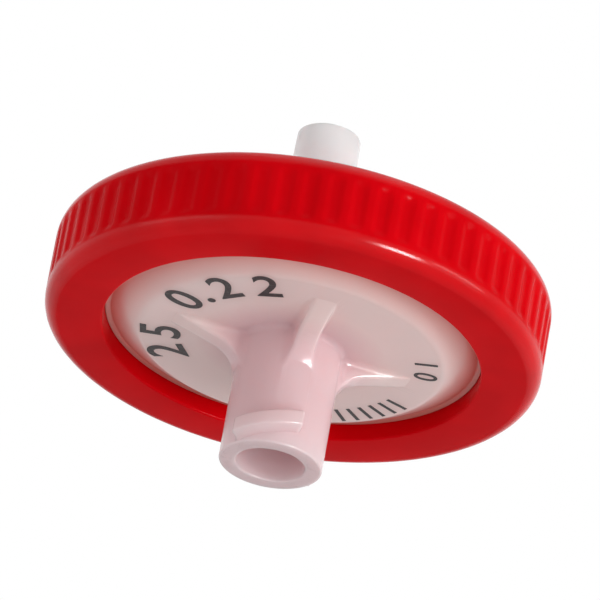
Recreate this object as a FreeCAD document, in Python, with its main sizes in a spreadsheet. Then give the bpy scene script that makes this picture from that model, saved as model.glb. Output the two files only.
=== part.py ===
"""Disc-type syringe filter, in millimetres.

Two moulded housing halves clamp a round membrane, and a ring moulded over both rims holds them
together.  The origin is the centre of the inlet hub's end face, and +Z is the direction of flow:
inlet hub, inlet disc, membrane, outlet disc, outlet tip.
"""
import FreeCAD, Part
import os
import Sketcher
from FreeCAD import Vector

# Driving dimensions: (alias, value, what it is).  Lengths are in mm and angles in degrees.
SIZES = (
    ("membrane_diameter", 25.0, "filter membrane, across"),
    ("membrane_thickness", 0.2, "filter membrane"),
    ("membrane_clearance", 0.05, "gap between the membrane's edge and its seat"),
    ("clamp_width", 0.6, "band of the membrane held between the halves"),
    ("flange_width", 1.05, "rim of the halves outside the membrane's seat"),
    ("flange_thickness", 1.6, "rim of each half, along the axis"),
    ("window_inset", 0.1, "ring's opening inside the chamber wall, on the radius"),
    ("shoulder_width", 1.95, "slope round each disc's raised middle, on the radius"),
    ("shoulder_drop", 1.2, "fall of that slope towards the ring"),
    ("bead_width", 0.35, "raised edge round each disc face, where the ring's mould shuts off"),
    ("bead_height", 0.15, "raised edge round each disc face"),
    ("hub_length", 8.0, "inlet end face to the inlet disc"),
    ("hub_diameter", 6.4, "inlet hub, outside"),
    ("foot_chamfer", 0.4, "slope where the hub or boss meets its disc"),
    ("mouth_diameter", 4.3, "luer socket at the end face"),
    ("mouth_chamfer", 0.15, "lead-in of the luer socket"),
    ("socket_depth", 8.0, "luer socket"),
    ("luer_taper", 0.06, "loss of diameter for each mm of length"),
    ("inlet_port_diameter", 2.0, "passage from the socket to the inlet chamber"),
    ("port_draft", 0.1, "gain of the inlet passage's radius towards the membrane"),
    ("lug_depth", 0.7, "thread lug, out from the hub"),
    ("lug_root_width", 1.5, "thread lug at the hub, along the axis"),
    ("lug_crest_width", 0.9, "thread lug at its crest, along the axis"),
    ("lug_setback", 0.1, "end face to the start of a thread lug"),
    ("lug_arc", 76.0, "angle that a thread lug spans"),
    ("lug_turn", 22.0, "thread lugs' middle, turned back from the fins"),
    ("lug_lead", 5.0, "thread lead"),
    ("fin_run", 3.7, "stiffening fin, out from the hub or boss"),
    ("fin_height", 1.3, "stiffening fin, where it meets the hub or boss"),
    ("fin_thickness", 1.4, "stiffening fin"),
    ("inlet_disc_thickness", 2.2, "floor of the inlet half"),
    ("inlet_chamber_depth", 0.4, "inlet disc to the membrane"),
    ("spoke_start", 2.2, "radius where the flow ribs start"),
    ("spoke_stop_gap", 0.9, "flow ribs' outer ends to the chamber wall"),
    ("spoke_width", 0.6, "flow rib"),
    ("spoke_clearance", 0.1, "flow ribs to the membrane"),
    ("spoke_count", 12, "flow ribs"),
    ("support_height", 0.4, "membrane support ridges"),
    ("ridge_start", 2.3, "inner radius of the first support ridge"),
    ("ridge_width", 0.7, "support ridge"),
    ("ridge_pitch", 2.4, "one support ridge to the next"),
    ("ridge_count", 4, "support ridges"),
    ("channel_width", 0.9, "radial channel through the support ridges"),
    ("channel_count", 6, "radial channels"),
    ("outlet_disc_thickness", 2.4, "roof of the outlet half"),
    ("boss_diameter", 6.0, "outlet boss"),
    ("boss_height", 1.45, "outlet boss, out from its disc"),
    ("tip_length", 8.0, "tapered outlet tip"),
    ("tip_end_diameter", 3.95, "outlet tip at its end"),
    ("tip_chamfer", 0.2, "outlet tip's end"),
    ("tip_bore_diameter", 1.9, "outlet passage"),
    ("ring_wall", 1.9, "ring outside the flanges, over the grip ribs"),
    ("ring_round", 0.9, "ring's outer edges"),
    ("grip_count", 64, "grooves between the grip ribs"),
    ("grip_depth", 0.25, "groove between two grip ribs"),
    ("grip_mouth", 0.95, "groove's width at the ribs' crests"),
    ("grip_floor", 0.45, "groove's width at its floor"),
    ("grip_margin", 0.15, "plain band between the grooves and the rounded edges"),
)

FIN_COUNT = 4
LUG_COUNT = 2
ROUNDING_STEPS = 3

# Levels along the axis and radii, as expressions on the sheet.
INLET_FACE = "dims.hub_length"
INLET_FLOOR = f"({INLET_FACE} + dims.inlet_disc_thickness)"
MEMBRANE_BOTTOM = f"({INLET_FLOOR} + dims.inlet_chamber_depth)"
PARTING = f"({MEMBRANE_BOTTOM} + dims.membrane_thickness)"
OUTLET_ROOF = f"({PARTING} + dims.support_height)"
OUTLET_FACE = f"({OUTLET_ROOF} + dims.outlet_disc_thickness)"
BOSS_TOP = f"({OUTLET_FACE} + dims.boss_height)"
TIP_END = f"({BOSS_TOP} + dims.tip_length)"
INLET_BAND = f"({INLET_FACE} + dims.shoulder_drop)"
OUTLET_BAND = f"({OUTLET_FACE} - dims.shoulder_drop)"
RING_BOTTOM = INLET_FACE
RING_TOP = OUTLET_FACE
INLET_FLANGE_FACE = f"({PARTING} - dims.flange_thickness)"
OUTLET_FLANGE_FACE = f"({PARTING} + dims.flange_thickness)"
CHAMBER_RADIUS = "(dims.membrane_diameter / 2 - dims.clamp_width)"
SEAT_RADIUS = "(dims.membrane_diameter / 2 + dims.membrane_clearance)"
FLANGE_RADIUS = f"({SEAT_RADIUS} + dims.flange_width)"
WINDOW_RADIUS = f"({CHAMBER_RADIUS} - dims.window_inset)"
BEAD_RADIUS = f"({WINDOW_RADIUS} - dims.bead_width)"
MIDDLE_RADIUS = f"({BEAD_RADIUS} - dims.shoulder_width)"
RING_RADIUS = f"({FLANGE_RADIUS} + dims.ring_wall)"
HUB_RADIUS = "(dims.hub_diameter / 2)"
BOSS_RADIUS = "(dims.boss_diameter / 2)"


def make_sheet(doc):
    """Put the driving dimensions in a spreadsheet, one named cell each."""
    sheet = doc.addObject("Spreadsheet::Sheet", "dims")
    for row, (alias, value, meaning) in enumerate(SIZES, start=1):
        sheet.set(f"A{row}", meaning)
        sheet.set(f"B{row}", str(value))
        sheet.setAlias(f"B{row}", alias)
    doc.recompute()
    return sheet


def value_of(doc, expression):
    """The present value of an expression on the sheet, as a plain number."""
    result = doc.dims.evalExpression(expression)
    return float(getattr(result, "Value", result))


def origin_part(body, role):
    """One of the body's own origin planes or axes."""
    return next(item for item in body.Origin.OriginFeatures if item.Role == role)


def new_sketch(body, name, plane):
    sketch = body.newObject("Sketcher::SketchObject", name)
    sketch.AttachmentSupport = [(origin_part(body, plane), "")]
    sketch.MapMode = "FlatFace"
    return sketch


def add_outline(sketch, corners):
    """Add a closed outline of straight lines; each corner is a pair of expressions, (x, y)."""
    doc = sketch.Document
    points = [Vector(value_of(doc, x), value_of(doc, y), 0) for x, y in corners]
    first = sketch.GeometryCount
    for start, end in zip(points, points[1:] + points[:1]):
        sketch.addGeometry(Part.LineSegment(start, end), False)
    for index, (x, y) in enumerate(corners):
        line = first + index
        following = first + (index + 1) % len(corners)
        sketch.addConstraint(Sketcher.Constraint("Coincident", line, 2, following, 1))
        place = points[index]
        for kind, expression, value in (("DistanceX", x, place.x), ("DistanceY", y, place.y)):
            constraint = sketch.addConstraint(Sketcher.Constraint(kind, -1, 1, line, 1, value))
            sketch.setExpression(f"Constraints[{constraint}]", expression)


def revolve(body, name, *outlines):
    """Turn outlines in the XZ plane about the Z axis."""
    sketch = new_sketch(body, f"{name}_sketch", "XZ_Plane")
    for corners in outlines:
        add_outline(sketch, corners)
    feature = body.newObject("PartDesign::Revolution", name)
    feature.Profile = sketch
    feature.ReferenceAxis = (sketch, ["V_Axis"])
    feature.Angle = 360
    body.Document.recompute()
    return feature


def blades(body, name, kind, corners, thickness, count):
    """Upright blades round the axis, padded or pocketed to both sides of the XZ plane."""
    sketch = new_sketch(body, f"{name}_sketch", "XZ_Plane")
    add_outline(sketch, corners)
    feature = body.newObject(f"PartDesign::{kind}", f"{name}_one")
    feature.Profile = sketch
    feature.SideType = "Symmetric"
    feature.setExpression("Length", thickness)
    return around_axis(body, name, feature, count)


def around_axis(body, name, feature, count):
    """Repeat a feature evenly round the Z axis."""
    pattern = body.newObject("PartDesign::PolarPattern", name)
    pattern.Originals = [feature]
    pattern.Axis = (origin_part(body, "Z_Axis"), [""])
    pattern.Angle = 360
    if isinstance(count, str):
        pattern.setExpression("Occurrences", count)
    else:
        pattern.Occurrences = count
    body.Tip = pattern
    body.Document.recompute()
    return pattern


def circle_edges(feature, radius, level):
    """Names of a feature's circular edges of one radius at one level."""
    names = []
    for number, edge in enumerate(feature.Shape.Edges, start=1):
        curve = edge.Curve
        if not isinstance(curve, Part.Circle):
            continue
        if abs(curve.Radius - radius) < 1e-4 and abs(curve.Center.z - level) < 1e-4:
            names.append(f"Edge{number}")
    return names


def chamfer_edge(body, name, radius, level, size):
    """Chamfer the circular edge of the body's last feature at one radius and level."""
    doc = body.Document
    base = body.Tip
    names = circle_edges(base, value_of(doc, radius), value_of(doc, level))
    if not names:
        raise RuntimeError(f"{name}: no edge at radius {radius}, level {level}")
    feature = body.newObject("PartDesign::Chamfer", name)
    feature.Base = (base, names)
    feature.setExpression("Size", size)
    doc.recompute()
    return feature


def new_body(doc, label):
    body = doc.addObject("PartDesign::Body", label)
    body.Label = label
    return body


def build_inlet_housing(doc):
    """Lower half: luer-lock hub, fins, disc, flow ribs and the rim with the membrane's seat."""
    body = new_body(doc, "inlet_housing")
    mouth = "(dims.mouth_diameter / 2)"
    socket_end = f"({mouth} - dims.luer_taper * dims.socket_depth / 2)"
    port = "(dims.inlet_port_diameter / 2)"
    revolve(body, "inlet_shell", (
        (mouth, "0"),
        (HUB_RADIUS, "0"),
        (HUB_RADIUS, INLET_FACE),
        (MIDDLE_RADIUS, INLET_FACE),
        (BEAD_RADIUS, INLET_BAND),
        (WINDOW_RADIUS, f"({INLET_BAND} - dims.bead_height)"),
        (WINDOW_RADIUS, INLET_FLANGE_FACE),
        (FLANGE_RADIUS, INLET_FLANGE_FACE),
        (FLANGE_RADIUS, PARTING),
        (SEAT_RADIUS, PARTING),
        (SEAT_RADIUS, MEMBRANE_BOTTOM),
        (CHAMBER_RADIUS, MEMBRANE_BOTTOM),
        (CHAMBER_RADIUS, INLET_FLOOR),
        (f"({port} + dims.port_draft)", INLET_FLOOR),
        (port, "dims.socket_depth"),
        (socket_end, "dims.socket_depth"),
    ))
    chamfer_edge(body, "hub_foot", HUB_RADIUS, INLET_FACE, "dims.foot_chamfer")
    chamfer_edge(body, "mouth_lead_in", mouth, "0", "dims.mouth_chamfer")

    inside = f"({HUB_RADIUS} - dims.mouth_chamfer)"
    blades(body, "inlet_fins", "Pad", (
        (inside, INLET_FACE),
        (inside, f"({INLET_FACE} - dims.fin_height)"),
        (HUB_RADIUS, f"({INLET_FACE} - dims.fin_height)"),
        (f"({HUB_RADIUS} + dims.fin_run)", INLET_FACE),
    ), "dims.fin_thickness", FIN_COUNT)

    spoke_top = f"({MEMBRANE_BOTTOM} - dims.spoke_clearance)"
    spoke_stop = f"({CHAMBER_RADIUS} - dims.spoke_stop_gap)"
    blades(body, "flow_ribs", "Pad", (
        ("dims.spoke_start", INLET_FLOOR),
        (spoke_stop, INLET_FLOOR),
        (spoke_stop, spoke_top),
        ("dims.spoke_start", spoke_top),
    ), "dims.spoke_width", "dims.spoke_count")

    add_lugs(body)
    return body


def add_lugs(body):
    """Two short stretches of right-hand thread at the mouth, which a luer-lock collar draws onto."""
    inside = f"({HUB_RADIUS} - dims.mouth_chamfer)"
    crest = f"({HUB_RADIUS} + dims.lug_depth)"
    slope = "(dims.lug_root_width - dims.lug_crest_width)"
    sketch = new_sketch(body, "lug_sketch", "XZ_Plane")
    sketch.setExpression("AttachmentOffset.Rotation.Angle", "-dims.lug_turn - 90 - dims.lug_arc / 2")
    sketch.AttachmentOffset = FreeCAD.Placement(Vector(0, 0, 0), FreeCAD.Rotation(Vector(0, 1, 0), 0))
    add_outline(sketch, (
        (inside, "dims.lug_setback"),
        (HUB_RADIUS, "dims.lug_setback"),
        (crest, f"(dims.lug_setback + {slope} / 2)"),
        (crest, f"(dims.lug_setback + {slope} / 2 + dims.lug_crest_width)"),
        (HUB_RADIUS, "(dims.lug_setback + dims.lug_root_width)"),
        (inside, "(dims.lug_setback + dims.lug_root_width)"),
    ))
    helix = body.newObject("PartDesign::AdditiveHelix", "lug_one")
    helix.Profile = sketch
    helix.ReferenceAxis = (sketch, ["V_Axis"])
    helix.Mode = "pitch-height-angle"
    helix.setExpression("Pitch", "dims.lug_lead")
    helix.setExpression("Height", "dims.lug_lead * dims.lug_arc / 360")
    around_axis(body, "lugs", helix, LUG_COUNT)


def build_outlet_housing(doc):
    """Upper half: membrane support ridges, disc, fins, boss and the male luer slip tip."""
    body = new_body(doc, "outlet_housing")
    tip_end_radius = "(dims.tip_end_diameter / 2)"
    tip_root = f"({tip_end_radius} + dims.luer_taper * dims.tip_length / 2)"
    bore = "(dims.tip_bore_diameter / 2)"
    revolve(body, "outlet_shell", (
        (bore, OUTLET_ROOF),
        (CHAMBER_RADIUS, OUTLET_ROOF),
        (CHAMBER_RADIUS, PARTING),
        (FLANGE_RADIUS, PARTING),
        (FLANGE_RADIUS, OUTLET_FLANGE_FACE),
        (WINDOW_RADIUS, OUTLET_FLANGE_FACE),
        (WINDOW_RADIUS, f"({OUTLET_BAND} + dims.bead_height)"),
        (BEAD_RADIUS, OUTLET_BAND),
        (MIDDLE_RADIUS, OUTLET_FACE),
        (BOSS_RADIUS, OUTLET_FACE),
        (BOSS_RADIUS, BOSS_TOP),
        (tip_root, BOSS_TOP),
        (tip_end_radius, TIP_END),
        (bore, TIP_END),
    ))
    chamfer_edge(body, "boss_foot", BOSS_RADIUS, OUTLET_FACE, "dims.foot_chamfer")
    chamfer_edge(body, "tip_edge", tip_end_radius, TIP_END, "dims.tip_chamfer")

    inside = f"({BOSS_RADIUS} - dims.foot_chamfer)"
    blades(body, "outlet_fins", "Pad", (
        (inside, OUTLET_FACE),
        (inside, f"({OUTLET_FACE} + dims.fin_height)"),
        (BOSS_RADIUS, f"({OUTLET_FACE} + dims.fin_height)"),
        (f"({BOSS_RADIUS} + dims.fin_run)", OUTLET_FACE),
    ), "dims.fin_thickness", FIN_COUNT)

    ridges = []
    for index in range(round(value_of(doc, "dims.ridge_count"))):
        inner = f"(dims.ridge_start + {index} * dims.ridge_pitch)"
        outer = f"({inner} + dims.ridge_width)"
        ridges.append(((inner, PARTING), (outer, PARTING), (outer, OUTLET_ROOF), (inner, OUTLET_ROOF)))
    revolve(body, "support_ridges", *ridges)
    channel_end = "(dims.ridge_start + (dims.ridge_count - 1) * dims.ridge_pitch + dims.ridge_width)"
    blades(body, "channels", "Pocket", (
        ("0", PARTING),
        (channel_end, PARTING),
        (channel_end, OUTLET_ROOF),
        ("0", OUTLET_ROOF),
    ), "dims.channel_width", "dims.channel_count")
    return body


def build_membrane(doc):
    """The filter membrane, a flat disc that lies in its seat."""
    membrane = doc.addObject("Part::Cylinder", "membrane")
    membrane.Label = "membrane"
    membrane.setExpression("Radius", "dims.membrane_diameter / 2")
    membrane.setExpression("Height", "dims.membrane_thickness")
    membrane.setExpression("Placement.Base.z", MEMBRANE_BOTTOM)
    doc.recompute()
    return membrane


def rounded_corner(level, side):
    """The ring's outer edge at one of its faces; side is 1 at the lower face and -1 at the upper."""
    corners = []
    for step in range(ROUNDING_STEPS + 1):
        angle = f"{90 * step / ROUNDING_STEPS:g} deg"
        corners.append((
            f"({RING_RADIUS} - dims.ring_round * (1 - sin({angle})))",
            f"({level} + {side} * dims.ring_round * (1 - cos({angle})))",
        ))
    return corners[::side]


def build_ring(doc):
    """The ring moulded over both flanges: a C-shaped section with grip ribs outside."""
    body = new_body(doc, "ring")
    revolve(body, "ring_section", (
        (WINDOW_RADIUS, RING_BOTTOM),
        *rounded_corner(RING_BOTTOM, 1),
        *rounded_corner(RING_TOP, -1),
        (WINDOW_RADIUS, RING_TOP),
        (WINDOW_RADIUS, OUTLET_FLANGE_FACE),
        (FLANGE_RADIUS, OUTLET_FLANGE_FACE),
        (FLANGE_RADIUS, INLET_FLANGE_FACE),
        (WINDOW_RADIUS, INLET_FLANGE_FACE),
    ))

    plain = "(dims.ring_round + dims.grip_margin)"
    sketch = new_sketch(body, "grip_sketch", "XY_Plane")
    sketch.setExpression("AttachmentOffset.Base.z", f"{RING_BOTTOM} + {plain}")
    sketch.setExpression("AttachmentOffset.Rotation.Angle", "180 / dims.grip_count")
    floor_edge = f"({RING_RADIUS} - dims.grip_depth)"
    open_edge = f"({RING_RADIUS} + dims.grip_depth)"
    open_half = "(dims.grip_mouth - dims.grip_floor / 2)"
    add_outline(sketch, (
        (floor_edge, "-dims.grip_floor / 2"),
        (open_edge, f"-{open_half}"),
        (open_edge, open_half),
        (floor_edge, "dims.grip_floor / 2"),
    ))
    groove = body.newObject("PartDesign::Pocket", "grip_one")
    groove.Profile = sketch
    groove.setExpression("Length", f"{RING_TOP} - {RING_BOTTOM} - 2 * {plain}")
    groove.Reversed = True
    around_axis(body, "grip_grooves", groove, "dims.grip_count")
    return body


def check(doc, parts):
    """Stop if an object failed or a sub-part has no valid single solid."""
    failed = [item.Name for item in doc.Objects if "Invalid" in item.State or "Error" in item.State]
    if failed:
        raise RuntimeError(f"failed objects: {failed}")
    for part in parts:
        shape = part.Shape
        if shape.isNull() or not shape.isValid() or len(shape.Solids) != 1:
            raise RuntimeError(f"{part.Label} is not one valid solid")


def main():
    doc = FreeCAD.newDocument("syringe_filter")
    make_sheet(doc)
    parts = [build_inlet_housing(doc), build_outlet_housing(doc), build_membrane(doc), build_ring(doc)]
    doc.recompute()
    check(doc, parts)
    os.makedirs("parts", exist_ok=True)
    for part in parts:
        part.Shape.exportStep(f"parts/{part.Label}.step")
        box = part.Shape.BoundBox
        print(f"{part.Label}: {part.Shape.Volume:.2f} mm3, z {box.ZMin:.2f} to {box.ZMax:.2f}, "
              f"across {box.XLength:.2f} x {box.YLength:.2f}")


main()
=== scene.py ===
"""A disc syringe filter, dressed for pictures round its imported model.

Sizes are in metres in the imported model's own frame: +Z is the direction of flow, and the origin is
the centre of the inlet hub's end face, on which the filter stands.
"""
import math

import bmesh
import bpy
from bpy.props import FloatProperty, FloatVectorProperty, IntProperty, PointerProperty
from mathutils import Matrix, Vector


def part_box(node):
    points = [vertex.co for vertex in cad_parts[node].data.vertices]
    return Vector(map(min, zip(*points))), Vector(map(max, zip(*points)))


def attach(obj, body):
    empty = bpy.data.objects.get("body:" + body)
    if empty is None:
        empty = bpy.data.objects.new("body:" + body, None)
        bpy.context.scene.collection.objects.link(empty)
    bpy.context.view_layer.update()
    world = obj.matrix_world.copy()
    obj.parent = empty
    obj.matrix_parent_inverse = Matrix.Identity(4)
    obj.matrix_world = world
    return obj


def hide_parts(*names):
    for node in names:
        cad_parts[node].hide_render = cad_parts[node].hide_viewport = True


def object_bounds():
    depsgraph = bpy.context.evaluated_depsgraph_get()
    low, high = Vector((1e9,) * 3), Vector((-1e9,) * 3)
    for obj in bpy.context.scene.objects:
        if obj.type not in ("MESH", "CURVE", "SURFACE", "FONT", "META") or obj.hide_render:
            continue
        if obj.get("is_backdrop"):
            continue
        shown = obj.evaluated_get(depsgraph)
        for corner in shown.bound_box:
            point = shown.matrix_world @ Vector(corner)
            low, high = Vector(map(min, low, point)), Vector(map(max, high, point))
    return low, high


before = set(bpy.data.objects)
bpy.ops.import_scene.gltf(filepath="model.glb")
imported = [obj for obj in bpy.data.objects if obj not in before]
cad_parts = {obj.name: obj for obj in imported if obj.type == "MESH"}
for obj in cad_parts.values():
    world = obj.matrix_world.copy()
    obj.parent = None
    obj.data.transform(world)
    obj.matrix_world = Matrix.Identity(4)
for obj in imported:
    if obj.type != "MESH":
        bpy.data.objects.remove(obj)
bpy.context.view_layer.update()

bl_info = {
    "name": "Syringe Filter",
    "version": (1, 0, 0),
    "blender": (4, 5, 0),
    "location": "3D View > Sidebar > Filter",
    "description": "Adds a disc syringe filter: grip ring, housing halves, membrane, print and stage",
    "category": "Add Mesh",
}

MM = 0.001

RING_LOW, RING_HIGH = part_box("ring")
INLET_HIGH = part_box("inlet_housing")[1]
OUTLET_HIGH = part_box("outlet_housing")[1]
MEMBRANE_LOW, MEMBRANE_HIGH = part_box("membrane")

LUER_SLOPE = 0.03  # loss of a luer cone's radius for each unit of its length
CAP_HEIGHT = 0.73  # height of the font's numbers as a share of its size
POLYPROPYLENE_IOR = 1.49

# where the thin end of a fin has its sections, as shares of that end; at 1 it would have no height
FIN_TAIL = (0, 0.4, 0.7, 0.98)
LUG_RAMPS = 14  # a lug rises to its full height over one part in so many of its arc
LUG_SINK = 0.02  # how far its very ends lie inside the hub, as a share of its height

FLOOR_RADIUS = 1.5
NEAREST, FARTHEST = 10 * MM, 10  # the camera draws what lies between
LAMP_DISTANCE = 0.4
# name, azimuth and elevation in degrees, width and height in metres, power in watts, and whether
# it lights matt surfaces too or only gives a highlight
LAMPS = (
    ("key", 56, -6, 0.20, 0.20, 0.85, True),
    ("under", 25, -40, 0.30, 0.30, 0.36, True),
    ("streak", 27, -14, 0.11, 0.12, 3.40, False),
    ("fill", -70, -5, 0.30, 0.30, 0.30, True),
    ("top", 0, 70, 0.30, 0.30, 0.24, True),
)
# characters and their directions in degrees, from the camera's right towards the camera
LARGE_MARKS = (("2", 202), ("5", 184), ("0", 149), (".", 138), ("2", 125), ("2", 105))
SMALL_MARKS = (("1", 9), ("0", -2))
TICK_MARKS = (-34, -40, -46, -52, -58, -64)

# how finely the meshes are drawn
TURNED_STEPS = 192
FLOOR_STEPS = 96
LUG_STEPS = 36
SWEEP_STEPS = 8
FILLET_STEPS = 4
FADE_STEPS = 4
ARC_STEP = math.radians(13)  # widest turn from one point of a rounding to the next
SHARP_ANGLE = math.radians(32)  # an edge that bends more than this stays sharp
TOUCH = MM / 1000  # points nearer than this are one
SLICE_TOUCH = MM / 500  # the same, for the edges of the ring's slices


# ---------------------------------------------------------------- settings


def linear(hex_colour):
    """An sRGB colour written as #RRGGBB, as Blender's linear red, green and blue."""
    channels = [int(hex_colour[place:place + 2], 16) / 255 for place in (1, 3, 5)]
    return tuple(c / 12.92 if c <= 0.04045 else ((c + 0.055) / 1.055) ** 2.4 for c in channels)


def length(name, description, default):
    """A size in metres that a user can change."""
    return FloatProperty(name=name, description=description, default=default, unit="LENGTH",
                         subtype="DISTANCE", precision=5)


def angle(name, description, degrees):
    """An angle that a user can change, given in degrees."""
    return FloatProperty(name=name, description=description, default=math.radians(degrees),
                         unit="ROTATION", subtype="ANGLE")


def colour(name, description, hex_colour):
    """A colour that a user can change, given as sRGB."""
    return FloatVectorProperty(name=name, description=description, default=linear(hex_colour),
                               size=3, min=0, max=1, subtype="COLOR")


class RingSizes(bpy.types.PropertyGroup):
    """The ring moulded over both rims"""
    radius: length("Radius", "Outer radius, over the grip ribs", RING_HIGH.x)
    bottom: length("Bottom", "Level of the lower face", RING_LOW.z)
    top: length("Top", "Level of the upper face", RING_HIGH.z)
    window: length("Window", "Radius of the opening that shows the housing", 11.8 * MM)
    rounding: length("Rounding", "Radius of the outer edges", 0.9 * MM)
    lip: length("Lip", "Radius of the edges round the window", 0.12 * MM)
    ribs: IntProperty(name="Ribs", description="Grip ribs round the ring", default=64, min=8)
    groove_depth: length("Groove depth", "Depth between two grip ribs", 0.15 * MM)
    groove_mouth: length("Groove mouth", "Width of a groove at the ribs' crests", 1.25 * MM)
    groove_floor: length("Groove floor", "Width of a groove at its floor", 0.25 * MM)
    plain_band: length("Plain band", "Smooth band between the grooves and the rounded edges", 0.1 * MM)
    groove_runout: length("Groove runout", "Length over which a groove's end fades", 0.6 * MM)


class HousingSizes(bpy.types.PropertyGroup):
    """What both halves of the housing share"""
    shoulder_width: length("Shoulder width", "Slope round the disc's raised middle", 1.95 * MM)
    shoulder_drop: length("Shoulder drop", "Fall of that slope towards the ring", 1.2 * MM)
    rim_radius: length("Rim radius", "Radius of the rims inside the ring", INLET_HIGH.x)
    rim_thickness: length("Rim thickness", "Rim of each half, along the axis", 1.6 * MM)
    parting: length("Parting", "Level where the halves meet", INLET_HIGH.z)
    chamber_radius: length("Chamber radius", "Radius of the space over the membrane", 11.9 * MM)
    shoulder_round: length("Shoulder round", "Rounding at the top of that slope", 0.8 * MM)
    bead_width: length("Bead width", "Sloped band at the disc's edge", 0.35 * MM)
    bead_height: length("Bead height", "Drop of the sloped band at the disc's edge", 0.15 * MM)
    skin_gap: length("Skin gap", "Clearance between moulded faces that meet", 0.01 * MM)
    fin_run: length("Fin run", "Fin, out from the hub or boss", 4.5 * MM)
    fin_height: length("Fin height", "Fin, where it meets the hub or boss", 1.3 * MM)
    fin_thickness: length("Fin thickness", "Fin, across", 1.4 * MM)
    fin_count: IntProperty(name="Fins", description="Fins on each disc", default=4, min=1)
    fin_crest: length("Fin crest", "Rounding along a fin's crest", 0.22 * MM)
    fin_foot: length("Fin foot", "Fillet along a fin's foot", 0.40 * MM)
    fin_root: length("Fin root", "Fillet where a fin's sides meet the hub or boss", 0.5 * MM)
    edge: length("Edge", "Small rounding of moulded edges", 0.12 * MM)


class InletSizes(bpy.types.PropertyGroup):
    """Lower half of the housing"""
    disc_thickness: length("Disc thickness", "Floor of the inlet half", 2.2 * MM)
    hub_radius: length("Hub radius", "Outside of the luer-lock hub", 3.2 * MM)
    fin_sweep: length("Fin sweep", "Fillet where a fin's crest meets the hub", 1.5 * MM)
    hub_fillet: length("Hub fillet", "Fillet where the hub meets its disc", 0.4 * MM)
    mouth_radius: length("Mouth radius", "Luer socket at the end face", 2.15 * MM)
    socket_depth: length("Socket depth", "Depth of the luer socket", 8.0 * MM)
    port_radius: length("Port radius", "Passage from the socket to the chamber", 1.0 * MM)
    lug_depth: length("Lug depth", "Thread lug, out from the hub", 0.7 * MM)
    lug_root: length("Lug root", "Thread lug at the hub, along the axis", 1.5 * MM)
    lug_crest: length("Lug crest", "Thread lug at its crest, along the axis", 0.9 * MM)
    lug_setback: length("Lug setback", "End face to the start of a lug", 0.1 * MM)
    lug_lead: length("Lug lead", "Rise of the thread in one turn", 5.0 * MM)
    lug_arc: angle("Lug arc", "Angle that a lug spans", 76)
    lug_middle: angle("Lug middle", "Direction of a lug's middle from +X", -112)
    lug_count: IntProperty(name="Lugs", description="Thread lugs at the mouth", default=2, min=1)
    rib_start: length("Flow rib start", "Radius where the flow ribs start", 2.2 * MM)
    rib_stop: length("Flow rib stop", "Radius where the flow ribs stop", 11.0 * MM)
    rib_width: length("Flow rib width", "Flow rib, across", 0.6 * MM)
    rib_height: length("Flow rib height", "Flow rib, up from the chamber's floor", 0.3 * MM)
    rib_count: IntProperty(name="Flow ribs", description="Flow ribs in the inlet chamber", default=12,
                           min=1)


class OutletSizes(bpy.types.PropertyGroup):
    """Upper half of the housing"""
    disc_thickness: length("Disc thickness", "Roof of the outlet half", 2.4 * MM)
    boss_radius: length("Boss radius", "Boss that carries the tip", 3.0 * MM)
    boss_height: length("Boss height", "Boss, out from its disc", 1.45 * MM)
    fin_sweep: length("Fin sweep", "Fillet where a fin's crest meets the boss", 0.15 * MM)
    boss_fillet: length("Boss fillet", "Fillet where the boss meets its disc", 0.4 * MM)
    tip_length: length("Tip length", "Luer slip tip", 8.0 * MM)
    tip_end_radius: length("Tip end radius", "Luer slip tip at its end", 1.975 * MM)
    bore_radius: length("Bore radius", "Passage through the tip", 0.95 * MM)
    ridge_start: length("Ridge start", "Inner radius of the first ridge", 2.3 * MM)
    ridge_width: length("Ridge width", "Support ridge, across", 0.7 * MM)
    ridge_pitch: length("Ridge pitch", "One support ridge to the next", 2.4 * MM)
    ridge_count: IntProperty(name="Ridges", description="Membrane support ridges", default=4, min=1)
    channel_width: length("Channel width", "Channel cut through the ridges", 0.9 * MM)
    channel_count: IntProperty(name="Channels", description="Channels through the ridges", default=6,
                               min=1)


class PrintSettings(bpy.types.PropertyGroup):
    """Plain numbers printed round the inlet disc"""
    height: length("Height", "Height of the large numbers", 2.6 * MM)
    weight: length("Weight", "Added to each side of a large number's strokes", 0.045 * MM)
    radius: length("Radius", "Middle of the large numbers from the axis", 8.25 * MM)
    small_height: length("Small height", "Height of the small numbers", 1.5 * MM)
    small_weight: length("Small weight", "The same for a small number", 0.0225 * MM)
    small_radius: length("Small radius", "Middle of the small numbers from the axis", 8.5 * MM)
    tick_width: length("Tick width", "Ticks, across", 0.25 * MM)
    film: length("Ink film", "Ink's height off the disc, thicker than real so that it shows", 0.012 * MM)


class FilterColours(bpy.types.PropertyGroup):
    """Colours of the filter's materials"""
    red: colour("Red", "Ring, moulded red polypropylene", "#D6020E")
    deep_red: colour("Deep red", "Ring where the melt flowed slower", "#C8010B")
    # The housing's milky plastic is drawn pink: a painted tint of red light from the ring and from red
    # liquid that isn't modelled. It has a painted glow by the ring, is darker round the hub, and is paler
    # at the hub's mouth and the tip, away from the ring.
    natural: colour("Natural", "Housing, moulded natural polypropylene", "#FAD8D4")
    natural_hub: colour("Natural round the hub", "Housing where its plastic is thickest", "#E8C1C5")
    natural_painted_glow: colour("Natural by the ring", "Housing where the red ring shines through it", "#F0857A")
    natural_mouth: colour("Natural at the mouth", "Hub mouth, away from the ring", "#F0E6E7")
    natural_tip: colour("Natural at the tip", "Outlet tip, which is clearer", "#FFFAFA")
    film: colour("Membrane", "Microporous membrane film", "#F2F1EE")
    ink: colour("Ink", "Pad-printed numbers", "#1E1416")
    floor: colour("Floor", "Plain matt floor", "#F4F4F4")


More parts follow.
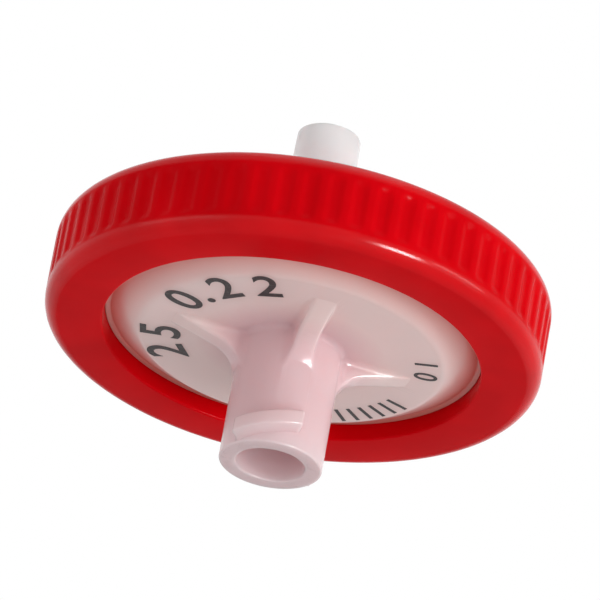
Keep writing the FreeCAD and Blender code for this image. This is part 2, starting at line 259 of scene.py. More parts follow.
class StageSettings(bpy.types.PropertyGroup):
    """Camera, lamps and floor"""
    azimuth: angle("Azimuth", "Camera round the axis, from -Y", -12)
    elevation: angle("Elevation", "Camera above the horizon", -27)
    roll: angle("Roll", "Lean of the filter's axis in the picture", 10.3)
    width: length("Width", "Width that the picture spans at the filter", 37 * MM)
    distance: length("Distance", "Camera to the filter", 600 * MM)
    ambient: FloatProperty(name="Ambient", description="Brightness of the white room", default=0.50,
                           min=0, max=1, subtype="FACTOR")


# ---------------------------------------------------------------- meshes


def smooth(share):
    """Ease from 0 to 1 as share goes from 0 to 1."""
    share = min(max(share, 0.0), 1.0)
    return share * share * (3 - 2 * share)


def outline(corners):
    """Points of a closed outline, counter-clockwise, from corners (across, up, rounding radius)."""
    points = []
    for index, (across, up, radius) in enumerate(corners):
        corner = Vector((across, up))
        if not radius:
            points.append(corner)
            continue
        before = (Vector(corners[index - 1][:2]) - corner).normalized()
        after = (Vector(corners[(index + 1) % len(corners)][:2]) - corner).normalized()
        half = before.angle(after) / 2
        centre = corner + (before + after).normalized() * (radius / math.sin(half))
        spoke = corner + before * (radius / math.tan(half)) - centre
        turn = math.copysign(math.pi - 2 * half, -before.cross(after))
        steps = max(2, math.ceil(abs(turn) / ARC_STEP))
        turns = [turn * step / steps for step in range(steps + 1)]
        points += [centre + Matrix.Rotation(each, 2) @ spoke for each in turns]
    return points


def skin(name, loops, ends):
    """A mesh object through closed loops of points, whose ends are "joined", "capped" or "open"."""
    mesh = bmesh.new()
    rows = [[mesh.verts.new(point) for point in loop] for loop in loops]
    if ends == "capped":
        mesh.faces.new(rows[0])
        mesh.faces.new(rows[-1])
    if ends == "joined":
        rows.append(rows[0])
    for row, following in zip(rows, rows[1:]):
        for index in range(len(row)):
            mesh.faces.new((row[index - 1], row[index], following[index], following[index - 1]))
    bmesh.ops.recalc_face_normals(mesh, faces=mesh.faces)
    return place(name, mesh)


def place(name, mesh):
    """A new object at the origin that holds a bmesh, which is freed."""
    data = bpy.data.meshes.new(name)
    mesh.to_mesh(data)
    mesh.free()
    piece = bpy.data.objects.new(name, data)
    bpy.context.scene.collection.objects.link(piece)
    return piece


def turned(name, corners):
    """A body of revolution from the corners of its section, in (radius, level, rounding)."""
    section = outline(corners)
    loops = []
    for step in range(TURNED_STEPS):
        turn = Matrix.Rotation(math.tau * step / TURNED_STEPS, 3, "Z")
        loops.append([turn @ Vector((point.x, 0, point.y)) for point in section])
    return skin(name, loops, "joined")


def quarter(steps):
    """Sine and cosine along a quarter turn."""
    turns = [math.pi / 2 * step / steps for step in range(steps + 1)]
    return [(math.sin(turn), math.cos(turn)) for turn in turns]


def fillet(radius, distance):
    """How far a fillet of a radius stands off one wall, at a distance from the other."""
    reach = radius - min(max(distance, 0), radius)
    return radius - math.sqrt(radius * radius - reach * reach)


def fin(name, root, sweep, housing, face, side):
    """One stiffening fin along +X that dies into a disc; side is 1 if it stands up, -1 if it hangs.

    It starts inside a hub or boss of radius root, and its crest meets that in a fillet, the sweep.
    """
    run, crest, foot = housing.fin_run, housing.fin_crest, housing.fin_foot
    slope = housing.fin_height / run
    tail = run * (1 - (crest + foot) / housing.fin_height)
    stations = [-crest] + [sweep * (1 - across) for across, _ in reversed(quarter(SWEEP_STEPS))]
    stations += [tail + (run - tail) * share for share in FIN_TAIL]
    arc = quarter(FILLET_STEPS)
    base = -2 * crest
    sink = MM / 100  # puts the foot's thin edge just inside the disc
    loops = []
    for out in stations:
        top = slope * (run - max(out, 0)) + fillet(sweep, out)
        half = housing.fin_thickness / 2 + fillet(housing.fin_root, out)
        squeeze = min(1, top / (crest + foot))
        right = [(half + foot * (1 - across), foot * (1 - up) * squeeze) for across, up in arc]
        right += [(half - crest * (1 - up), top - crest * (1 - across) * squeeze) for across, up in arc]
        left = [(-across, up) for across, up in reversed(right)]
        section = [(half + foot, base), *right, *left, (-half - foot, base)]
        # a section is bent to the hub's round wall, so that all of it is the same way out
        bend = [root - math.sqrt(root * root - across * across) for across, _ in section]
        loops.append([Vector((root + out - back, across, face + side * (up - sink)))
                      for back, (across, up) in zip(bend, section)])
    return skin(name, loops, "capped")


def bar(name, start, stop, width, low, high):
    """A square bar along +X between two radii and two levels."""
    half = width / 2
    loops = [[Vector((along, -half, low)), Vector((along, half, low)),
              Vector((along, half, high)), Vector((along, -half, high))] for along in (start, stop)]
    return skin(name, loops, "capped")


def keep_mesh(piece):
    """Turn what a piece's modifiers make into its plain mesh, and take the modifiers off."""
    bpy.context.view_layer.update()
    evaluated = piece.evaluated_get(bpy.context.evaluated_depsgraph_get())
    made = bpy.data.meshes.new_from_object(evaluated)
    old, piece.data = piece.data, made
    piece.modifiers.clear()
    bpy.data.meshes.remove(old)


def tidy_mesh(piece):
    """Weld, point the faces outwards, shade smooth but for the sharp edges, and keep flats flat."""
    mesh = bmesh.new()
    mesh.from_mesh(piece.data)
    bmesh.ops.remove_doubles(mesh, verts=mesh.verts, dist=TOUCH)
    bmesh.ops.recalc_face_normals(mesh, faces=mesh.faces)
    for face in mesh.faces:
        face.smooth = True
    for edge in mesh.edges:
        edge.smooth = edge.calc_face_angle(math.pi) < SHARP_ANGLE
    mesh.to_mesh(piece.data)
    mesh.free()
    weighted = piece.modifiers.new("weighted", "WEIGHTED_NORMAL")
    weighted.keep_sharp = True
    keep_mesh(piece)


# ---------------------------------------------------------------- node trees


def feed(tree, node, inputs):
    """Set a node's inputs, given by name or in the order of its live ones. What goes in is a value,
    an output, or a node, which stands for its first live output."""
    if isinstance(inputs, dict):
        pairs = [(node.inputs[name], source) for name, source in inputs.items()]
    else:
        pairs = zip([socket for socket in node.inputs if socket.enabled], inputs)
    for socket, source in pairs:
        if isinstance(source, bpy.types.Node):
            source = next(output for output in source.outputs if output.enabled)
        if isinstance(source, bpy.types.NodeSocket):
            tree.links.new(source, socket)
        else:
            socket.default_value = source


def add_node(tree, kind, inputs=(), **settings):
    """Add a node with its settings and its inputs, as feed takes them."""
    node = tree.nodes.new(kind)
    for setting, value in settings.items():
        setattr(node, setting, value)
    feed(tree, node, inputs)
    return node


def new_tree(name, **inputs):
    """A Geometry Nodes tree that takes and gives geometry, with its other named inputs."""
    tree = bpy.data.node_groups.new(name, "GeometryNodeTree")
    tree.interface.new_socket("Geometry", in_out="OUTPUT", socket_type="NodeSocketGeometry")
    for label, kind in {"Geometry": "Geometry", **inputs}.items():
        tree.interface.new_socket(label, in_out="INPUT", socket_type=f"NodeSocket{kind}")
    return tree, add_node(tree, "NodeGroupInput").outputs


def turned_copies(tree, shape, count):
    """Copies of a shape at equal turns about Z."""
    points = add_node(tree, "GeometryNodePoints", {"Count": count})
    step = add_node(tree, "ShaderNodeMath", (math.tau, count), operation="DIVIDE")
    index = add_node(tree, "GeometryNodeInputIndex")
    turn = add_node(tree, "ShaderNodeMath", (index, step), operation="MULTIPLY")
    rotation = add_node(tree, "FunctionNodeAxisAngleToRotation", {"Axis": (0, 0, 1), "Angle": turn})
    copies = add_node(tree, "GeometryNodeInstanceOnPoints",
                      {"Points": points, "Instance": shape, "Rotation": rotation})
    return add_node(tree, "GeometryNodeRealizeInstances", {"Geometry": copies})


def end_tree(tree, geometry, given):
    """Realize what is left, set the material and give it out."""
    real = add_node(tree, "GeometryNodeRealizeInstances", {"Geometry": geometry})
    painted = add_node(tree, "GeometryNodeSetMaterial", {"Geometry": real, "Material": given["Material"]})
    add_node(tree, "NodeGroupOutput", {"Geometry": painted})
    return tree


def slices_tree():
    """Turn copies of one slice about the axis and weld them into a whole body."""
    tree, given = new_tree("Slices Round Axis", Copies="Int", Weld="Float", Material="Material")
    whole = turned_copies(tree, given["Geometry"], given["Copies"])
    welded = add_node(tree, "GeometryNodeMergeByDistance", {"Geometry": whole, "Distance": given["Weld"]})
    return end_tree(tree, welded, given)


def tools_tree(name, operation):
    """Join a body with copies of a tool turned about the axis, or cut them out of it."""
    tree, given = new_tree(name, Tool="Object", Copies="Int", Material="Material")
    tool = add_node(tree, "GeometryNodeObjectInfo", {"Object": given["Tool"]})
    tools = turned_copies(tree, tool.outputs["Geometry"], given["Copies"])
    meet = add_node(tree, "GeometryNodeMeshBoolean", {"Mesh 2": tools}, operation=operation, solver="EXACT")
    feed(tree, meet, {"Mesh 1" if operation == "DIFFERENCE" else "Mesh 2": given["Geometry"]})
    return end_tree(tree, meet, given)


def run_tree(piece, tree, **values):
    """Run a node tree on a piece with its named inputs, and keep the plain mesh that it makes."""
    modifier = piece.modifiers.new(tree.name, "NODES")
    modifier.node_group = tree
    for item in tree.interface.items_tree:
        if item.in_out == "INPUT" and item.name in values:
            modifier[item.identifier] = values[item.name]
    keep_mesh(piece)


def run_tools(body, operation, tool, copies, material):
    """Join or cut copies of a tool object, which is then removed."""
    name = f"Tools Round Axis {operation.title()}"
    tree = bpy.data.node_groups.get(name) or tools_tree(name, operation)
    run_tree(body, tree, Tool=tool, Copies=copies, Material=material)
    bpy.data.objects.remove(tool)


# ---------------------------------------------------------------- materials


def new_material(name):
    """A material with its Principled shader, and the object's own coordinates."""
    material = bpy.data.materials.new(name)
    material.use_nodes = True
    tree = material.node_tree
    shader = tree.nodes["Principled BSDF"]
    where = add_node(tree, "ShaderNodeTexCoord").outputs["Object"]
    return material, tree, shader, where


def opaque(colour_setting):
    """A colour setting as a node takes it, with its fourth number."""
    return (*colour_setting, 1)


def axis_distance(tree, where):
    """Distance of a point from the filter's axis."""
    flat = add_node(tree, "ShaderNodeVectorMath", (where, (1, 1, 0)), operation="MULTIPLY")
    return add_node(tree, "ShaderNodeVectorMath", (flat,), operation="LENGTH")


def red_polypropylene(colours, ring):
    """Red polypropylene, injection moulded: even colour with faint flow clouds, a fine spark-eroded
    grain on its flats, and glossy streaks along its rounded edges, where the steel was polished."""
    material, tree, shader, where = new_material("Red polypropylene, injection moulded")
    clouds = add_node(tree, "ShaderNodeTexNoise", {"Vector": where, "Scale": 1 / (5 * MM)})
    bright = add_node(tree, "ShaderNodeMapRange", (clouds, 0.35, 0.65))
    body = add_node(tree, "ShaderNodeMix", (bright, opaque(colours.deep_red), opaque(colours.red)),
                    data_type="RGBA")
    # the polish starts sharply where the side turns into a rounded edge, and fades towards the face
    edge = ring.rounding
    blur = edge / 10
    half = (ring.top - ring.bottom) / 2
    level = add_node(tree, "ShaderNodeSeparateXYZ", (where,)).outputs["Z"]
    rise = add_node(tree, "ShaderNodeMath", (level, (ring.bottom + ring.top) / 2), operation="SUBTRACT")
    height = add_node(tree, "ShaderNodeMath", (rise,), operation="ABSOLUTE")
    outside = add_node(tree, "ShaderNodeMapRange",
                       (axis_distance(tree, where), ring.radius - edge, ring.radius - edge / 2))
    upright = add_node(tree, "ShaderNodeMapRange", (height, half - edge - blur, half - edge + blur))
    polish = add_node(tree, "ShaderNodeMath", (outside, upright), operation="MULTIPLY")
    gloss = add_node(tree, "ShaderNodeMapRange", (polish, 0, 1, 0.02, 0.16))
    cloudy = add_node(tree, "ShaderNodeTexNoise", {"Vector": where, "Scale": 1 / (1.5 * MM)})
    matt = add_node(tree, "ShaderNodeMapRange", (cloudy, 0.3, 0.7, 0.16, 0.22))
    smoother = add_node(tree, "ShaderNodeMath", (polish, 0.03), operation="MULTIPLY")
    rough = add_node(tree, "ShaderNodeMath", (matt, smoother), operation="SUBTRACT")
    # eroded grain is about 0.03 mm; drawn at 0.25 mm so that it shows
    grain = add_node(tree, "ShaderNodeTexNoise", {"Vector": where, "Scale": 1 / (0.25 * MM)})
    feed(tree, shader, {
        "Base Color": body,
        "Roughness": rough,
        "Specular IOR Level": gloss,
        "IOR": POLYPROPYLENE_IOR,
        "Subsurface Weight": 0.2,
        "Subsurface Radius": (1.0, 0.12, 0.1),
        "Subsurface Scale": 1.2 * MM,
        "Normal": add_node(tree, "ShaderNodeBump", {"Distance": 0.0015 * MM, "Height": grain}),
    })
    return material


def natural_polypropylene(colours, ring, middle, tip_level):
    """Natural polypropylene, injection moulded: milky and translucent, smooth where it met polished
    steel, with a painted pink tint of red light, and redder near the ring: a painted glow of its red."""
    material, tree, shader, where = new_material("Natural polypropylene, injection moulded")
    distance = axis_distance(tree, where)
    level = add_node(tree, "ShaderNodeSeparateXYZ", (where,)).outputs["Z"]
    hub_side, disc_side = 3.4 * MM, 6 * MM
    glow_start, glow_full = ring.window - 2.8 * MM, ring.window - 0.3 * MM
    glow_falloff = 1.5
    mouth_share = 0.4
    disc = add_node(tree, "ShaderNodeMapRange", (distance, hub_side, disc_side))
    mouth = add_node(tree, "ShaderNodeMapRange", (level, 0, middle, mouth_share, 0))
    tip = add_node(tree, "ShaderNodeMapRange", (level, middle, tip_level))
    # painted glow: the housing is drawn redder near the ring, for the ring's red light carried through the
    # wall
    near_ring = add_node(tree, "ShaderNodeMapRange", (distance, glow_start, glow_full))
    painted_glow = add_node(tree, "ShaderNodeMath", (near_ring, glow_falloff), operation="POWER")
    # each colour is laid over the ones before it
    body = opaque(colours.natural_hub)
    for share, tint in ((disc, colours.natural), (mouth, colours.natural_mouth),
                        (tip, colours.natural_tip), (painted_glow, colours.natural_painted_glow)):
        body = add_node(tree, "ShaderNodeMix", (share, body, opaque(tint)), data_type="RGBA")
    flow = add_node(tree, "ShaderNodeTexNoise", {"Vector": where, "Scale": 1 / (3 * MM), "Detail": 3})
    # flow marks are shallow waves about 2 mm long
    waves = add_node(tree, "ShaderNodeTexNoise", {"Vector": where, "Scale": 1 / (2 * MM), "Detail": 1})
    feed(tree, shader, {
        "Base Color": body,
        "Roughness": add_node(tree, "ShaderNodeMapRange", (flow, 0.3, 0.7, 0.18, 0.26)),
        "IOR": POLYPROPYLENE_IOR,
        "Specular IOR Level": 0.22,
        "Subsurface Weight": 0.6,
        "Subsurface Radius": (1.0, 0.8, 0.78),
        "Subsurface Scale": 2.4 * MM,
        "Transmission Weight": add_node(tree, "ShaderNodeMapRange", (tip, mouth_share, 1, 0.15, 0.28)),
        "Normal": add_node(tree, "ShaderNodeBump", {"Distance": 0.012 * MM, "Height": waves}),
    })
    return material


def membrane_film(colours):
    """Microporous polymer film, cast: matt white, paper-like fibre texture, painted shade in its hollows.
    """
    material, tree, shader, where = new_material("Microporous polymer film, cast")
    # pores are under 0.001 mm; drawn at 0.06 mm so that the film looks fibrous
    pores = add_node(tree, "ShaderNodeTexNoise",
                     {"Vector": where, "Scale": 1 / (0.06 * MM), "Detail": 4, "Roughness": 0.7})
    raised = add_node(tree, "ShaderNodeMapRange", (pores, 0.3, 0.6))
    # the low spots of the bump are drawn darker: painted shade in the pores
    painted_pore_shade = [channel * 0.88 for channel in colours.film]
    feed(tree, shader, {
        "Base Color": add_node(tree, "ShaderNodeMix", (raised, opaque(painted_pore_shade), opaque(colours.film)),
                               data_type="RGBA"),
        "Roughness": add_node(tree, "ShaderNodeMapRange", (pores, 0.3, 0.7, 0.8, 0.95)),
        "Sheen Weight": 0.2,
        "Normal": add_node(tree, "ShaderNodeBump", {"Distance": 0.01 * MM, "Height": pores}),
    })
    return material


def pad_print_ink(colours):
    """Black pad-printing ink: thin, half matt, a little uneven where the pad lifted."""
    material, tree, shader, where = new_material("Pad-printing ink, printed")
    patches = add_node(tree, "ShaderNodeTexNoise",
                       {"Vector": where, "Scale": 1 / (0.25 * MM), "Detail": 3})
    lifted = add_node(tree, "ShaderNodeMapRange", (patches, 0.45, 0.7))
    thin = [channel + 0.05 for channel in colours.ink]
    feed(tree, shader, {
        "Base Color": add_node(tree, "ShaderNodeMix", (lifted, opaque(colours.ink), opaque(thin)),
                               data_type="RGBA"),
        "Roughness": add_node(tree, "ShaderNodeMapRange", (patches, 0.3, 0.7, 0.4, 0.6)),
        "Normal": add_node(tree, "ShaderNodeBump", {"Distance": 0.004 * MM, "Height": patches}),
    })
    return material


def studio_floor(colours):
    """Matt painted board that fades into the white room. It is clear from beneath, and to the light
    on its way to the filter, because the camera and most of the lamps stand below it."""
    material, tree, shader, where = new_material("Painted board, matt")
    grain = add_node(tree, "ShaderNodeTexNoise", {"Vector": where, "Scale": 1 / (2 * MM), "Detail": 4})
    darker = [channel * 0.97 for channel in colours.floor]
    feed(tree, shader, {
        "Base Color": add_node(tree, "ShaderNodeMix", (grain, opaque(colours.floor), opaque(darker)),
                               data_type="RGBA"),
        "Roughness": 0.9,
        "Specular IOR Level": 0.1,
    })
    path = add_node(tree, "ShaderNodeLightPath")
    unseen = add_node(tree, "ShaderNodeNewGeometry").outputs["Backfacing"]
    for ray in ("Is Shadow Ray", "Is Diffuse Ray"):
        unseen = add_node(tree, "ShaderNodeMath", (unseen, path.outputs[ray]), operation="MAXIMUM")
    away = add_node(tree, "ShaderNodeMapRange", (axis_distance(tree, where), 40 * MM, 300 * MM, 0.5, 1))
    white = add_node(tree, "ShaderNodeEmission", {"Color": (1, 1, 1, 1), "Strength": 1})
    seen = add_node(tree, "ShaderNodeMixShader", (away, shader, white))
    clear = add_node(tree, "ShaderNodeBsdfTransparent")
    both = add_node(tree, "ShaderNodeMixShader", (unseen, seen, clear))
    feed(tree, tree.nodes["Material Output"], {"Surface": both})
    return material


# ---------------------------------------------------------------- operators


def hand_over(piece, node):
    """The piece rides on the filter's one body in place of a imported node."""
    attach(piece, "root")
    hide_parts(node)


class AddGripRing(bpy.types.Operator):
    """Add the red ring that is moulded over both rims, with its grip ribs"""
    bl_idname = "syringe_filter.grip_ring"
    bl_label = "Grip Ring"
    bl_options = {"REGISTER", "UNDO"}

    columns: IntProperty(name="Columns", description="Mesh columns in one rib's pitch", default=14, min=4)

    def execute(self, context):
        ring = context.scene.ring_sizes
        housing = context.scene.housing_sizes
        low_end = ring.bottom + ring.rounding + ring.plain_band
        high_end = ring.top - ring.rounding - ring.plain_band
        fade = [ring.groove_runout * step / FADE_STEPS for step in range(FADE_STEPS + 1)]
        levels = [low_end + step for step in fade] + [high_end - step for step in reversed(fade)]
        inner = ring.window
        section = outline((
            (inner, ring.bottom, ring.lip),
            (ring.radius, ring.bottom, ring.rounding),
            *((ring.radius, level, 0) for level in levels),
            (ring.radius, ring.top, ring.rounding),
            (inner, ring.top, ring.lip),
            (inner, housing.parting + housing.rim_thickness, 0),
            (housing.rim_radius, housing.parting + housing.rim_thickness, 0),
            (housing.rim_radius, housing.parting - housing.rim_thickness, 0),
            (inner, housing.parting - housing.rim_thickness, 0),
        ))
        pitch = math.tau / ring.ribs
        half_mouth, half_floor = ring.groove_mouth / 2, ring.groove_floor / 2
        loops = []
        for column in range(self.columns + 1):
            turn = pitch * column / self.columns
            aside = abs(turn - pitch / 2) * ring.radius
            cut = smooth((half_mouth - aside) / (half_mouth - half_floor))
            loops.append([self.wall_point(point, turn, cut, ring, low_end, high_end) for point in section])
        # end faces would be left inside the ring, so the slice has none
        piece = skin("grip_ring", loops, "open")
        run_tree(piece, slices_tree(), Copies=ring.ribs, Weld=SLICE_TOUCH,
                 Material=red_polypropylene(context.scene.filter_colours, ring))
        tidy_mesh(piece)
        hand_over(piece, "ring")
        return {"FINISHED"}

    @staticmethod
    def wall_point(point, turn, cut, ring, low_end, high_end):
        """A point of the section turned about the axis, and sunk into the groove where it is one."""
        radius, level = point
        if radius > ring.radius - TOUCH:
            inside = min(level - low_end, high_end - level) / ring.groove_runout
            radius -= ring.groove_depth * cut * smooth(inside)
        return Vector((radius * math.cos(turn), radius * math.sin(turn), level))


class AddInletHousing(bpy.types.Operator):
    """Add the lower half: luer-lock hub with its thread lugs, fins, disc, flow ribs and rim"""
    bl_idname = "syringe_filter.inlet_housing"
    bl_label = "Inlet Housing"
    bl_options = {"REGISTER", "UNDO"}

    def execute(self, context):
        scene = context.scene
        ring, housing, inlet = scene.ring_sizes, scene.housing_sizes, scene.inlet_sizes
        face = ring.bottom
        band = face + housing.shoulder_drop
        floor = face + inlet.disc_thickness
        edge, gap = housing.edge, housing.skin_gap
        bead = ring.window - housing.bead_width
        socket_end = inlet.mouth_radius - LUER_SLOPE * inlet.socket_depth
        piece = turned("inlet_shell", (
            (inlet.mouth_radius, 0, edge),
            (inlet.hub_radius, 0, edge),
            (inlet.hub_radius, face, inlet.hub_fillet),
            (bead - housing.shoulder_width, face, housing.shoulder_round),
            (bead, band, edge),
            (ring.window - gap, band - housing.bead_height, edge / 2),
            (ring.window - gap, housing.parting - housing.rim_thickness + gap, 0),
            (housing.rim_radius - gap, housing.parting - housing.rim_thickness + gap, 0),
            (housing.rim_radius - gap, housing.parting - gap, 0),
            (MEMBRANE_HIGH.x + gap, housing.parting - gap, 0),
            (MEMBRANE_HIGH.x + gap, MEMBRANE_LOW.z - gap, 0),
            (housing.chamber_radius, MEMBRANE_LOW.z - gap, 0),
            (housing.chamber_radius, floor, 0),
            (inlet.port_radius, floor, 0),
            (inlet.port_radius, inlet.socket_depth, 0),
            (socket_end, inlet.socket_depth, edge),
        ))
        material = natural_polypropylene(scene.filter_colours, ring, housing.parting, OUTLET_HIGH.z)
        inlet_fin = fin("inlet_fin", inlet.hub_radius, inlet.fin_sweep, housing, face, -1)
        run_tools(piece, "UNION", inlet_fin, housing.fin_count, material)
        run_tools(piece, "UNION", self.lug(inlet, edge), inlet.lug_count, material)
        flow_rib = bar("flow_rib", inlet.rib_start, inlet.rib_stop, inlet.rib_width,
                       floor - inlet.rib_height, floor + inlet.rib_height)
        run_tools(piece, "UNION", flow_rib, inlet.rib_count, material)
        tidy_mesh(piece)
        hand_over(piece, "inlet_housing")
        return {"FINISHED"}

    @staticmethod
    def lug(inlet, edge):
        """One short stretch of thread, whose ends run out into the hub."""
        hub, crest = inlet.hub_radius, inlet.hub_radius + inlet.lug_depth
        inside = hub - 2 * edge
        section = outline((
            (inside, -inlet.lug_root / 2, 0),
            (hub, -inlet.lug_root / 2, 0),
            (crest, -inlet.lug_crest / 2, edge),
            (crest, inlet.lug_crest / 2, edge),
            (hub, inlet.lug_root / 2, 0),
            (inside, inlet.lug_root / 2, 0),
        ))
        start = inlet.lug_setback + inlet.lug_root / 2
        loops = []
        for step in range(LUG_STEPS + 1):
            share = step / LUG_STEPS
            stand = smooth(min(share, 1 - share) * LUG_RAMPS) * (1 + LUG_SINK) - LUG_SINK
            turn = Matrix.Rotation(inlet.lug_middle + inlet.lug_arc * (share - 0.5), 3, "Z")
            level = start + inlet.lug_lead * inlet.lug_arc * share / math.tau
            loops.append([turn @ Vector((min(across, hub) + max(across - hub, 0) * stand, 0, level + up))
                          for across, up in section])
        return skin("lock_lug", loops, "capped")


class AddOutletHousing(bpy.types.Operator):
    """Add the upper half: disc with its support ridges, fins, boss and luer slip tip"""
    bl_idname = "syringe_filter.outlet_housing"
    bl_label = "Outlet Housing"
    bl_options = {"REGISTER", "UNDO"}

    def execute(self, context):
        scene = context.scene
        ring, housing, outlet = scene.ring_sizes, scene.housing_sizes, scene.outlet_sizes
        face = ring.top
        band = face - housing.shoulder_drop
        roof = face - outlet.disc_thickness
        boss_top = face + outlet.boss_height
        tip_end = boss_top + outlet.tip_length
        edge, gap = housing.edge, housing.skin_gap
        bead = ring.window - housing.bead_width
        tip_root = outlet.tip_end_radius + LUER_SLOPE * outlet.tip_length
        foot = housing.parting + gap
        ridges = []
        for index in range(outlet.ridge_count):
            inner = outlet.ridge_start + index * outlet.ridge_pitch
            outer = inner + outlet.ridge_width
            ridges += [(inner, roof, 0), (inner, foot, 0), (outer, foot, 0), (outer, roof, 0)]
        piece = turned("outlet_shell", (
            (outlet.bore_radius, roof, 0),
            *ridges,
            (housing.chamber_radius, roof, 0),
            (housing.chamber_radius, foot, 0),
            (housing.rim_radius - gap, foot, 0),
            (housing.rim_radius - gap, housing.parting + housing.rim_thickness - gap, 0),
            (ring.window - gap, housing.parting + housing.rim_thickness - gap, 0),
            (ring.window - gap, band + housing.bead_height, edge / 2),
            (bead, band, edge),
            (bead - housing.shoulder_width, face, housing.shoulder_round),
            (outlet.boss_radius, face, outlet.boss_fillet),
            (outlet.boss_radius, boss_top, 2 * edge),
            (tip_root, boss_top, edge),
            (outlet.tip_end_radius, tip_end, 1.5 * edge),
            (outlet.bore_radius, tip_end, edge),
        ))
        material = natural_polypropylene(scene.filter_colours, ring, housing.parting, OUTLET_HIGH.z)
        outlet_fin = fin("outlet_fin", outlet.boss_radius, outlet.fin_sweep, housing, face, 1)
        run_tools(piece, "UNION", outlet_fin, housing.fin_count, material)
        end = outlet.ridge_start + (outlet.ridge_count - 1) * outlet.ridge_pitch + outlet.ridge_width
        channel = bar("channel", outlet.ridge_start - edge, end + edge, outlet.channel_width,
                      housing.parting - edge, roof)
        run_tools(piece, "DIFFERENCE", channel, outlet.channel_count, material)
        tidy_mesh(piece)
        hand_over(piece, "outlet_housing")
        return {"FINISHED"}


class DressMembrane(bpy.types.Operator):
    """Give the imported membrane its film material"""
    bl_idname = "syringe_filter.membrane"
    bl_label = "Membrane"
    bl_options = {"REGISTER", "UNDO"}

    def execute(self, context):
        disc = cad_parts["membrane"]
        disc.data.materials.clear()
        disc.data.materials.append(membrane_film(context.scene.filter_colours))
        return {"FINISHED"}


class AddPrint(bpy.types.Operator):
    """Add plain numbers and ticks, pad-printed round the inlet disc"""
    bl_idname = "syringe_filter.print"
    bl_label = "Print"
    bl_options = {"REGISTER", "UNDO"}

    def execute(self, context):
        scene = context.scene
        marks = scene.print_settings
        joined = bmesh.new()
        for character, degrees in LARGE_MARKS:
            spot = self.spot(scene, degrees, marks.radius)
            self.add_glyph(joined, spot, character, marks.height, marks.weight, marks.film)
        for character, degrees in SMALL_MARKS:
            spot = self.spot(scene, degrees, marks.small_radius)
            self.add_glyph(joined, spot, character, marks.small_height, marks.small_weight, marks.film)
        for degrees in TICK_MARKS:
            self.add_tick(joined, self.spot(scene, degrees, marks.small_radius), marks)
        piece = place("print", joined)
        piece.data.materials.append(pad_print_ink(scene.filter_colours))
        tidy_mesh(piece)
        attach(piece, "root")
        return {"FINISHED"}

    @staticmethod
    def spot(scene, degrees, radius):
        """The place of a mark's middle on the inlet disc, read from below with its head outwards."""
        turn = scene.stage_settings.azimuth - math.radians(degrees)
        outward = Vector((math.cos(turn), math.sin(turn), 0))
        along = Vector((-math.sin(turn), math.cos(turn), 0))
        stand = Matrix((along, outward, Vector((0, 0, -1)))).transposed().to_4x4()
        return Matrix.Translation(outward * radius + Vector((0, 0, scene.ring_sizes.bottom))) @ stand

    @staticmethod
    def add_glyph(joined, spot, character, height, weight, film):
        """One character, added to the joined mesh."""
        text = bpy.data.curves.new("glyph", "FONT")
        text.body = character
        text.size = height / CAP_HEIGHT
        text.extrude = film
        text.offset = weight
        text.align_x = "CENTER"
        carrier = bpy.data.objects.new("glyph", text)
        bpy.context.scene.collection.objects.link(carrier)
        bpy.context.view_layer.update()
        evaluated = carrier.evaluated_get(bpy.context.evaluated_depsgraph_get())
        solid = bpy.data.meshes.new_from_object(evaluated)
        solid.transform(spot @ Matrix.Translation((0, -height / 2, 0)))
        joined.from_mesh(solid)
        bpy.data.objects.remove(carrier)
        bpy.data.curves.remove(text)
        bpy.data.meshes.remove(solid)

    @staticmethod
    def add_tick(joined, spot, marks):
        """One short radial bar, added to the joined mesh."""
        size = Matrix.Diagonal((marks.tick_width, marks.small_height, 2 * marks.film, 1))
        made = bmesh.ops.create_cube(joined, size=1)
        bmesh.ops.transform(joined, matrix=spot @ size, verts=made["verts"])


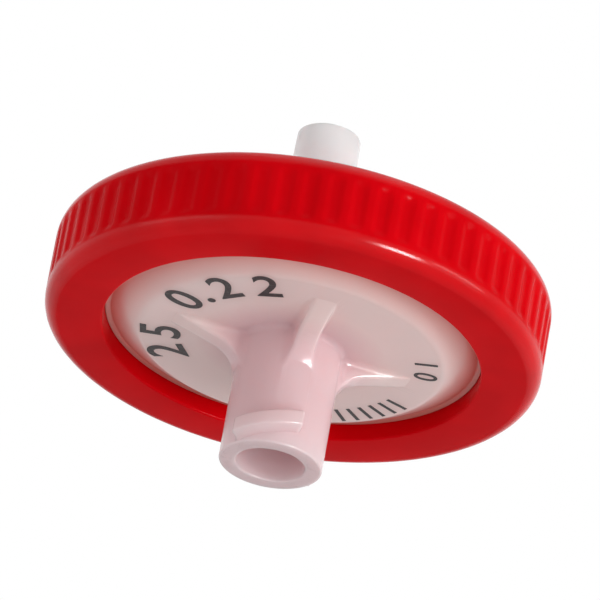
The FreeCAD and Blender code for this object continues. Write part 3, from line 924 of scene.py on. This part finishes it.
class AddStage(bpy.types.Operator):
    """Add the floor, the white room, the lamps and the camera"""
    bl_idname = "syringe_filter.stage"
    bl_label = "Stage"
    bl_options = {"REGISTER", "UNDO"}

    def execute(self, context):
        scene = context.scene
        stage = scene.stage_settings
        low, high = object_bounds()
        centre = (low + high) / 2
        self.add_floor(scene)
        self.add_room(scene, stage)
        self.add_camera(scene, stage, centre)
        for lamp in LAMPS:
            self.add_lamp(scene, centre, *lamp)
        scene.view_settings.view_transform = "Standard"
        return {"FINISHED"}

    @staticmethod
    def add_floor(scene):
        """A round board at the level on which the filter stands."""
        board = bmesh.new()
        bmesh.ops.create_circle(board, cap_ends=True, radius=FLOOR_RADIUS, segments=FLOOR_STEPS)
        floor = place("floor", board)
        floor.data.materials.append(studio_floor(scene.filter_colours))
        floor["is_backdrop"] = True

    @staticmethod
    def add_room(scene, stage):
        """A plain white room: it lights evenly, and is pure white where it is seen."""
        world = bpy.data.worlds.new("White room")
        world.use_nodes = True
        scene.world = world
        tree = world.node_tree
        path = add_node(tree, "ShaderNodeLightPath")
        seen = path.outputs["Is Camera Ray"]
        for ray in ("Is Glossy Ray", "Is Transmission Ray"):
            seen = add_node(tree, "ShaderNodeMath", (seen, path.outputs[ray]), operation="MAXIMUM")
        strength = add_node(tree, "ShaderNodeMix", (seen, stage.ambient, 1))
        feed(tree, tree.nodes["Background"], {"Color": (1, 1, 1, 1), "Strength": strength})

    @staticmethod
    def facing(centre, azimuth, elevation, distance):
        """The place of a camera or lamp that looks at the centre; azimuth runs round from -Y."""
        level = math.cos(elevation)
        back = Vector((math.sin(azimuth) * level, -math.cos(azimuth) * level, math.sin(elevation)))
        turn = (-back).to_track_quat("-Z", "Y").to_matrix().to_4x4()
        return Matrix.Translation(centre + back * distance) @ turn

    @classmethod
    def add_camera(cls, scene, stage, centre):
        """The camera, leant so that the filter's axis leans in the picture."""
        lens = bpy.data.cameras.new("camera")
        lens.lens = lens.sensor_width * stage.distance / stage.width
        lens.clip_start, lens.clip_end = NEAREST, FARTHEST
        camera = bpy.data.objects.new("camera", lens)
        scene.collection.objects.link(camera)
        stand = cls.facing(centre, stage.azimuth, stage.elevation, stage.distance)
        camera.matrix_world = stand @ Matrix.Rotation(stage.roll, 4, "Z")
        scene.camera = camera

    @classmethod
    def add_lamp(cls, scene, centre, name, azimuth, elevation, width, height, power, lights_matt):
        """A soft lamp that faces the filter."""
        lamp = bpy.data.lights.new(name, "AREA")
        lamp.shape = "RECTANGLE"
        lamp.size, lamp.size_y, lamp.energy = width, height, power
        holder = bpy.data.objects.new(name, lamp)
        holder.visible_diffuse = lights_matt
        scene.collection.objects.link(holder)
        holder.matrix_world = cls.facing(centre, math.radians(azimuth), math.radians(elevation),
                                         LAMP_DISTANCE)


# ---------------------------------------------------------------- panel and registration


class FilterPanel(bpy.types.Panel):
    """Buttons that add the filter's pieces, and its main colours"""
    bl_idname = "VIEW3D_PT_syringe_filter"
    bl_label = "Syringe Filter"
    bl_space_type = "VIEW_3D"
    bl_region_type = "UI"
    bl_category = "Filter"

    def draw(self, context):
        """Buttons first, colours below them."""
        for operator in OPERATORS:
            self.layout.operator(operator.bl_idname)
        for name in FilterColours.__annotations__:
            self.layout.prop(context.scene.filter_colours, name)


SETTINGS = {
    "ring_sizes": RingSizes,
    "housing_sizes": HousingSizes,
    "inlet_sizes": InletSizes,
    "outlet_sizes": OutletSizes,
    "print_settings": PrintSettings,
    "filter_colours": FilterColours,
    "stage_settings": StageSettings,
}
OPERATORS = (AddGripRing, AddInletHousing, AddOutletHousing, DressMembrane, AddPrint, AddStage)
CLASSES = (*SETTINGS.values(), *OPERATORS, FilterPanel)


def register():
    """Make the settings, operators and panel known, and give each scene its settings."""
    for each in CLASSES:
        bpy.utils.register_class(each)
    for name, group in SETTINGS.items():
        setattr(bpy.types.Scene, name, PointerProperty(type=group))


def unregister():
    """Take away all that register adds."""
    for name in SETTINGS:
        delattr(bpy.types.Scene, name)
    for each in reversed(CLASSES):
        bpy.utils.unregister_class(each)


def main():
    """Build the filter and its stage."""
    register()
    bpy.ops.syringe_filter.grip_ring()
    bpy.ops.syringe_filter.inlet_housing()
    bpy.ops.syringe_filter.outlet_housing()
    bpy.ops.syringe_filter.membrane()
    bpy.ops.syringe_filter.print()
    bpy.ops.syringe_filter.stage()


if __name__ == "__main__":
    main()
